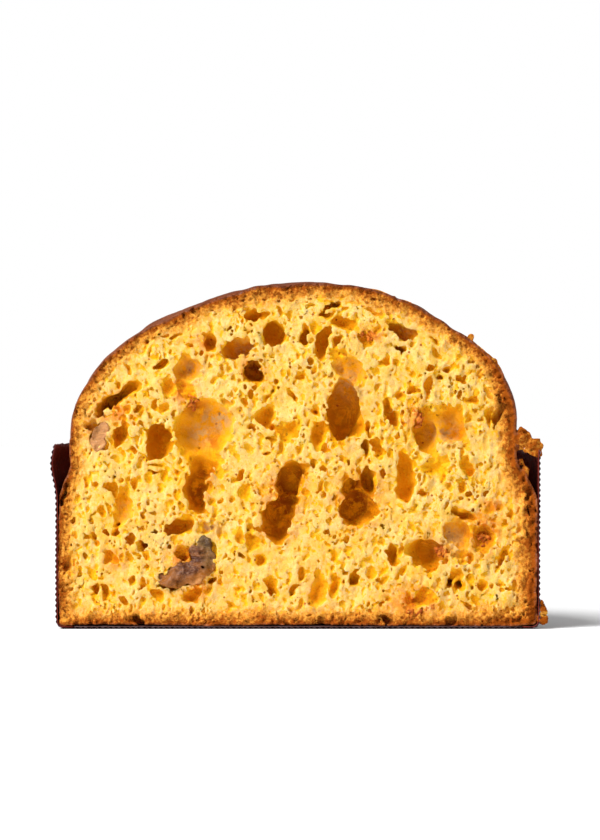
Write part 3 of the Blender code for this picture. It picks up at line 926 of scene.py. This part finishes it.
def caramel_finish():
    """Sticky caramel crumbs, clear orange where thin and red-brown where thick."""
    f = Finish("caramel")
    colour = f.mix(f.ramp(f.noise(330, 3), 0.36, 0.64), (0.72, 0.20, 0.012), (0.38, 0.065, 0.004))
    colour = f.mix(f.ramp(f.noise(1100, 2), 0.54, 0.7, 0, 0.6), colour, (0.85, 0.36, 0.04))
    return f.surface(
        base_color=colour,
        roughness=f.ramp(f.noise(700, 3), 0.35, 0.65, 0.4, 0.8),
        normal=f.bump(f.noise(800, 4, 0.6), 0.0012, 0.9),
        specular_ior_level=0.2,
        subsurface_weight=0.08,
        subsurface_scale=0.001,
        subsurface_radius=(1.0, 0.3, 0.05),
    )


def floor_finish():
    """A plain, pale, matt sheet."""
    f = Finish("studio_floor")
    base = f.mix(f.ramp(f.noise(4, 2), 0.3, 0.7), (0.93, 0.93, 0.93), (0.95, 0.95, 0.95))
    return f.surface(base_color=base, roughness=0.9, specular_ior_level=0.1)


# --- Pieces ---


def add_torn_lip(grid):
    """A flap of crust on the right that was torn out over the mould's rim, and its hanging scraps."""
    rough = 0.5 * grid.noise("lip_lumps") + 0.45 * grid.noise("lip_crumbs")
    for centre, half, tilt in TORN_LUMPS:
        block = grid.span(centre, tuple(h + 3 for h in half))
        inside = -ellipsoid(grid.x[block], grid.y[block], grid.z[block], centre, half, tilt)
        grid.depth[block] = np.maximum(grid.depth[block], inside + rough[block])


def make_bread():
    """The loaf, with its open crumb at the cut and its crust behind."""
    ys = spaced(FINE_FRONT, FINE_DEPTH, FINE_STEP)
    grid = Lattice(spaced(-107, 109, FINE_STEP), ys, spaced(0, 153.5, FINE_STEP))
    add_torn_lip(grid)
    solid, hollow, cut = carve_bread(grid)
    verts, faces = surface_net(solid, grid.axes)
    verts, faces = biggest_part(verts, faces)
    hollow_at = value_at(hollow, grid, verts)
    cut_at = value_at(cut, grid, verts)
    calm = 0.10 + 0.50 * smoothstep(2.0, 4.5, verts[:, 1:2])
    verts = relax(verts, faces, calm, 5)

    back = Lattice(
        spaced(-110, 112, COARSE_STEP),
        spaced(float(ys[-1]), 112, COARSE_STEP),
        spaced(-1.5, 155, COARSE_STEP),
    )
    back_verts, back_faces = surface_net(back.depth, back.axes)
    seam = open_loop(faces)
    back_seam = [v + len(verts) for v in open_loop(back_faces)]
    both = np.concatenate((verts, back_verts))
    zipped = [[int(i) for i in triangle] for triangle in zip_loops(both, seam, back_seam)]
    all_faces = faces.tolist() + (back_faces + len(verts)).tolist() + zipped
    mesh = piece("bread_loaf", both, all_faces, bread_finish(), "bread").data
    bm = bmesh.new()
    bm.from_mesh(mesh)
    bmesh.ops.recalc_face_normals(bm, faces=bm.faces)
    bm.to_mesh(mesh)
    bm.free()
    x, y, z = both.T
    hollow_all = np.concatenate((hollow_at, np.full(len(back_verts), FAR)))
    torn_out = (depth_inside(x, y, z) < -0.7) & (y < 4.5)
    skin = np.concatenate((value_at(grid.depth, grid, verts), np.zeros(len(back_verts))))
    paint(mesh, "skin_depth", np.where(torn_out, TORN_SKIN, np.maximum(0, skin)))
    # Painted shade: the big cells' walls darken the deeper they lie behind the cut.
    paint(mesh, "hollow", (1 - smoothstep(0.2, 1.2, hollow_all)) * smoothstep(2.0, 8.5, y))
    # The depth below the cut, which the crumb's painted shade reads.
    paint(mesh, "cut_depth", np.concatenate((cut_at, np.full(len(back_verts), FAR))))
    front = 1 - smoothstep(13, 16, y)
    paint(mesh, "caramel_stain", spots(x, z, CARAMEL_STAINS) * front)
    paint(mesh, "fig_stain", spots(x, z, FIG_STAINS) * front)
    return mesh


def mould_point(radius, height, share):
    """A point of the mould's wall: the share runs from its left edge at the cut to its right edge."""
    spread = math.pi + 2 * math.asin(CUT_BEFORE_AXIS / radius)
    from_left = share * spread
    angle = math.pi + math.asin(CUT_BEFORE_AXIS / radius) - from_left
    out = Vector((math.cos(angle), math.sin(angle), 0))
    left_angle = math.acos(max(-1, min(1, -out.x)))
    if height > RIM_HEIGHT / 2:
        up = (height - RIM_HEIGHT / 2) / (RIM_HEIGHT / 2)
        height += RIM_TILT * up * math.cos(left_angle)
    across = left_angle / BULGE_ANGLE
    above = (height - BULGE_HEIGHT) / BULGE_TALL
    radius += BULGE_OUT * math.exp(-(across * across + above * above) / 2)
    place = out * radius + Vector((0, CUT_BEFORE_AXIS, height))
    ruffle = Vector((place.x / 26, place.y / 26, height / 60))
    radius_change = 0.35 * noise.noise(ruffle) * min(1.0, height / 20)
    return place + out * radius_change


def sheet_faces(rows, wide):
    """The faces of a closed sheet: a net of rows on its front, the same net behind, and the edges."""
    faces = []
    back = rows * wide
    for i in range(rows - 1):
        for j in range(wide - 1):
            a = i * wide + j
            faces.append((a, a + 1, a + wide + 1, a + wide))
            faces.append((back + a, back + a + wide, back + a + wide + 1, back + a + 1))
    for j in range(wide - 1):
        top, low = j, (rows - 1) * wide + j
        faces.append((top, back + top, back + top + 1, top + 1))
        faces.append((low, low + 1, back + low + 1, back + low))
    for i in range(rows - 1):
        left, right = i * wide, (i + 1) * wide - 1
        faces.append((left, left + wide, back + left + wide, back + left))
        faces.append((right, back + right, back + right + wide, right + wide))
    return faces


def sheet_band(outline, steps, thick):
    """A closed band of sheet: an outline of (radius, height) swept along the wall, with a thickness."""
    verts, normals = [], []
    for i, (radius, height) in enumerate(outline):
        before = outline[max(0, i - 1)]
        after = outline[min(len(outline) - 1, i + 1)]
        along = Vector((after[0] - before[0], after[1] - before[1])).normalized()
        normals.append((along.y, -along.x))
    for side in (0.5, -0.5):
        for (radius, height), (nr, nz) in zip(outline, normals):
            for step in range(steps + 1):
                share = step / steps
                out = thick * side
                verts.append(mould_point(radius + nr * out, height + nz * out, share))
    return verts, sheet_faces(len(outline), steps + 1)


def ragged(verts, rim, amount, seed):
    """Roughens a sheet's cut edge and its rim, as scissors and baking leave them."""
    for vert in verts:
        near_cut = max(0.0, 1 - vert.y / 1.2)
        near_rim = max(0.0, 1 - (rim - vert.z) / 1.2)
        shift = noise.noise(Vector((vert.x * 0.9, vert.z * 0.9, seed)))
        vert.y += amount * near_cut * (0.5 + shift)
        vert.z -= amount * near_rim * (0.5 + noise.noise(Vector((vert.x * 0.5, vert.y * 0.5, seed))))
    return verts


def make_paper_wall(finish):
    """The wall: a smooth liner inside and a sheet of level flutes outside, both turned in below."""
    inner = MOULD_RADIUS - FLUTE_TALL - LINER / 2 - 0.25
    heights = [RIM_HEIGHT - i * 2.2 for i in range(33)]
    liner = [(inner, h) for h in heights if h > CORNER_RADIUS]
    turn = (MOULD_RADIUS - CORNER_RADIUS, CORNER_RADIUS)
    corner = inner - turn[0]
    liner += [round_corner(turn, corner, step / 5) for step in range(6)]
    liner.append((FLANGE_RADIUS, CORNER_RADIUS - corner))
    verts, faces = sheet_band(liner, WALL_STEPS, LINER)

    middle = MOULD_RADIUS - FLUTE_TALL / 2 - 0.1
    count = int((RIM_HEIGHT - CORNER_RADIUS) / FLUTE_PITCH * FLUTE_STEPS)
    flutes = []
    for i in range(count + 1):
        height = RIM_HEIGHT - i * FLUTE_PITCH / FLUTE_STEPS
        swing = math.cos(2 * math.pi * i / FLUTE_STEPS)
        flutes.append((middle - swing * FLUTE_TALL / 2, height))
    for step in range(1, 11):
        swing = math.cos(2 * math.pi * (count + step * 2) / FLUTE_STEPS)
        flutes.append(round_corner(turn, middle - turn[0] - swing * FLUTE_TALL / 4, step / 10))
    wave_verts, wave_faces = sheet_band(flutes, WALL_STEPS, WALL_SHEET)
    offset = len(verts)
    verts += wave_verts
    faces += [tuple(i + offset for i in face) for face in wave_faces]
    verts = ragged(verts, RIM_HEIGHT, 0.5, 3.0)
    wall = piece("paper_mould_wall", verts, faces, finish, "paper_wall")
    in_waves = np.arange(len(verts)) >= offset
    paint(wall.data, "outside", in_waves)
    # Painted highlight along the outer flutes' cut edge.
    paint(wall.data, "cut_edge_highlight", in_waves & (np.array([v.y for v in verts]) < 0.9))
    return wall


def make_paper_base(finish):
    """The base: a smooth disc on a sheet of flutes that run away from the cut."""
    verts, faces = [], []

    def strip(heights_at, thick, spacing):
        """A disc cut by the knife, as a thick sheet whose height depends on x."""
        count = int(2 * BASE_RADIUS / spacing)
        xs = [-BASE_RADIUS + 0.15 + (2 * BASE_RADIUS - 0.3) * i / count for i in range(count + 1)]
        rows = 14
        start = len(verts)
        for side in (0, 1):
            for x in xs:
                far = CUT_BEFORE_AXIS + math.sqrt(BASE_RADIUS**2 - x * x)
                for row in range(rows + 1):
                    y = far * row / rows
                    edge = 0.35 * noise.noise(Vector((x * 0.8, side, 9.0))) if row == 0 else 0
                    verts.append(Vector((x, y + max(0, edge), heights_at(x) + thick * (0.5 - side))))
        for a, b, c, d in sheet_faces(len(xs), rows + 1):
            faces.append((start + a, start + d, start + c, start + b))

    strip(lambda x: BASE_THICK - LINER / 2, LINER, 3.0)
    middle = (BASE_THICK - LINER) / 2
    swing = middle - 0.1

    def fluted(x):
        return middle + swing * math.cos(2 * math.pi * x / FLUTE_PITCH)

    strip(fluted, BASE_SHEET, FLUTE_PITCH / FLUTE_STEPS)
    base = piece("paper_mould_base", verts, faces, finish, "paper_base")
    paint(base.data, "outside", np.ones(len(verts)))
    # A weaker painted highlight along the base's cut edge.
    paint(base.data, "cut_edge_highlight", 0.25 * (np.array([v.y for v in verts]) < 0.5))
    return base


def lump(name, lobes, finish, node, rough, flat_at, detail):
    """A lump of ellipsoid lobes with a rough surface, cut nearly flat by the knife."""
    bm = bmesh.new()
    subdivisions = detail
    for centre, half, tilt in lobes:
        made = bmesh.ops.create_icosphere(bm, subdivisions=subdivisions, radius=1)
        for vert in made["verts"]:
            out = vert.co.copy()
            big = noise.noise(out * 1.7 + Vector(centre))
            small = noise.noise(out * 5.5 + Vector(centre))
            tiny = noise.noise(out * 14.0 + Vector(centre))
            swell = 1 + rough * (0.35 * big + 0.16 * small + 0.06 * tiny)
            p = Vector((out.x * half[0], out.y * half[1], out.z * half[2])) * swell
            px, pz = tilted(p.x, p.z, tilt)
            p = Vector((px, p.y, pz)) + Vector(centre)
            face_at = flat_at + 0.5 * noise.noise(Vector((p.x * 0.35, 3.0, p.z * 0.35)))
            face_at += 0.16 * noise.noise(Vector((p.x * 1.4, 7.0, p.z * 1.4)))
            if p.y < face_at:
                p.y = face_at + (p.y - face_at) * 0.12
            vert.co = p
    verts = [v.co.copy() for v in bm.verts]
    bm.verts.index_update()
    faces = [[v.index for v in face.verts] for face in bm.faces]
    bm.free()
    return piece(name, verts, faces, finish, node)


def make_fig(name, node, lobes, face_at, finish):
    """A piece of fig as one lumpy body. The knife has left it a little proud here and hollow there."""
    reach = 3.0
    low = [min(centre[i] - max(half) for centre, half, tilt in lobes) - reach for i in (0, 2)]
    high = [max(centre[i] + max(half) for centre, half, tilt in lobes) + reach for i in (0, 2)]
    grid = Lattice(
        spaced(low[0], high[0], FIG_STEP),
        spaced(-2.4, 9, FIG_STEP),
        spaced(low[1], high[1], FIG_STEP),
    )
    body = np.full(grid.x.shape, -9.0)
    for centre, half, tilt in lobes:
        body = np.maximum(body, -ellipsoid(grid.x, grid.y, grid.z, centre, half, tilt))
    body += 0.5 * grid.noise("fig_lumps")
    body += 0.3 * grid.noise("fig_grain")
    face = grid.y - face_at - 0.75 * grid.noise("fig_face")
    face -= 0.32 * grid.noise("fig_face_grain")
    verts, faces = surface_net(np.minimum(body, face), grid.axes)
    verts, faces = biggest_part(verts, faces)
    verts = relax(verts, faces, 0.3, 2)
    return piece(name, verts, faces.tolist(), finish, node)


def make_inclusions(fig, caramel):
    """The fig and the caramel that the cut shows."""
    large = make_fig("candied_fig_large", "fig_piece_large", FIG_LOBES, 0.45, fig)
    co = np.array([v.co for v in large.data.vertices]) / MM - (FRAME_X, FRAME_Y, 0)
    paint(large.data, "skin_side", smoothstep(33, 36.5, co[:, 2] + 0.35 * (co[:, 0] + 40)))
    paint(large.data, "olive", smoothstep(-43, -38, co[:, 0]))
    paint(large.data, "amber", np.maximum(
        smoothstep(-1.0, -4.5, co[:, 2] - 24.5 - 0.5 * (co[:, 0] + 48)),
        0.6 * smoothstep(-49, -56, co[:, 0]),
    ))
    along, above = co[:, 0] + 44, co[:, 2] - 19.6 - 0.5 * (co[:, 0] + 44)
    paint(large.data, "pale", 0.9 * np.exp(-((along / 6) ** 2) - (above / 1.2) ** 2))
    left = make_fig("candied_fig_left", "fig_piece_left", LEFT_FIG_LOBES, 0.5, fig)
    for name, value in (("skin_side", 0), ("olive", 0), ("amber", 0), ("pale", 0.7)):
        paint(left.data, name, np.full(len(left.data.vertices), value))
    rng = np.random.default_rng(CLUMP_SEED)
    for number, (centre, half, tilt) in enumerate(CLUMPS, 1):
        lobes = crumb_cluster(rng, centre, half, tilt)
        name, node = f"caramel_clump_{number}", f"caramel_lump_{number}"
        lump(name, lobes, caramel, node, 1.4, 0.4, 3)


def crumb_cluster(rng, centre, half, tilt):
    """Small lobes heaped together within a tilted ellipsoid."""
    lobes = []
    while len(lobes) < 14:
        u, v, w = rng.uniform(-1, 1, 3)
        if u * u + v * v + w * w > 1:
            continue
        across, up = tilted(u * half[0], w * half[2], tilt)
        place = (centre[0] + across, centre[1] + v * half[1], centre[2] + up)
        sizes = rng.uniform((0.9, 0.7, 0.4), (2.0, 1.3, 0.9))
        lobes.append((place, tuple(sizes), rng.uniform(0, 180)))
    return lobes


def make_corner_crumb(finish):
    """A scrap of crust stuck outside the mould's lower right corner."""
    mesh = lump("crust_scrap", SCRAP_LOBES, finish, "corner_crumb", 1.2, 0.25, 4).data
    co = np.array([v.co for v in mesh.vertices]) / MM
    pale_bit = np.exp(-((co[:, 2] - 6.6) / 1.4) ** 2)
    paint(mesh, "skin_depth", 1.6 + 7.0 * pale_bit)
    # The depth below the cut sets painted shade: away from the pale band the crumb is painted deeper
    # orange.
    paint(mesh, "cut_depth", 0.8 * (1 - pale_bit))
    for name in ("hollow", "caramel_stain", "fig_stain"):
        paint(mesh, name, np.zeros(len(co)))


# --- Studio ---


def aim(obj, place, target):
    """Puts an object somewhere and points it at a target. Both are in metres."""
    obj.location = place
    obj.rotation_euler = (Vector(target) - Vector(place)).to_track_quat("-Z", "Y").to_euler()


def make_camera():
    """A level camera in front of the cut, which fills the picture as it does the photo."""
    data = bpy.data.cameras.new("camera")
    camera = put_in_scene("camera", data)
    data.sensor_width = SENSOR
    data.lens = SENSOR * CAMERA_AWAY / VIEW_TALL
    data.clip_end = 50
    cut_plane = FRAME_Y * MM
    place = (CAMERA_X, cut_plane - CAMERA_AWAY, CAMERA_HEIGHT)
    aim(camera, place, (CAMERA_X, cut_plane, CAMERA_HEIGHT))
    bpy.context.scene.camera = camera


def make_studio():
    """A pale floor, a white sky, a broad sun from the upper left, and a small light in front."""
    bm = bmesh.new()
    bmesh.ops.create_circle(bm, cap_ends=True, segments=96, radius=9)
    mesh = bpy.data.meshes.new("floor")
    bm.to_mesh(mesh)
    bm.free()
    mesh.materials.append(floor_finish())
    floor = put_in_scene("floor", mesh)
    world = bpy.data.worlds.new("studio")
    bpy.context.scene.world = world
    world.use_nodes = True
    sky = world.node_tree.nodes["Background"]
    sky.inputs["Color"].default_value = (1, 1, 1, 1)
    seen = world.node_tree.nodes.new("ShaderNodeLightPath").outputs["Is Camera Ray"]
    strength = world.node_tree.nodes.new("ShaderNodeMapRange")
    strength.inputs["To Min"].default_value = SKY
    world.node_tree.links.new(seen, strength.inputs["Value"])
    world.node_tree.links.new(strength.outputs["Result"], sky.inputs["Strength"])
    sun = bpy.data.lights.new("overhead", "SUN")
    sun.energy = SUN
    sun.angle = SUN_ANGLE
    aim(put_in_scene("overhead", sun), SUN_PLACE, (0, 0, 0))
    key = bpy.data.lights.new("key", "AREA")
    key.shape = "DISK"
    key.size = KEY_SIZE
    key.energy = KEY
    aim(put_in_scene("key", key), KEY_PLACE, KEY_TARGET)
    bpy.context.scene.view_settings.view_transform = "Standard"


make_camera()
make_studio()
bread = make_bread()
paper = paper_finish()
make_paper_wall(paper)
make_paper_base(paper)
make_inclusions(fig_finish(), caramel_finish())
make_corner_crumb(bread.materials[0])

bpy.context.view_layer.update()
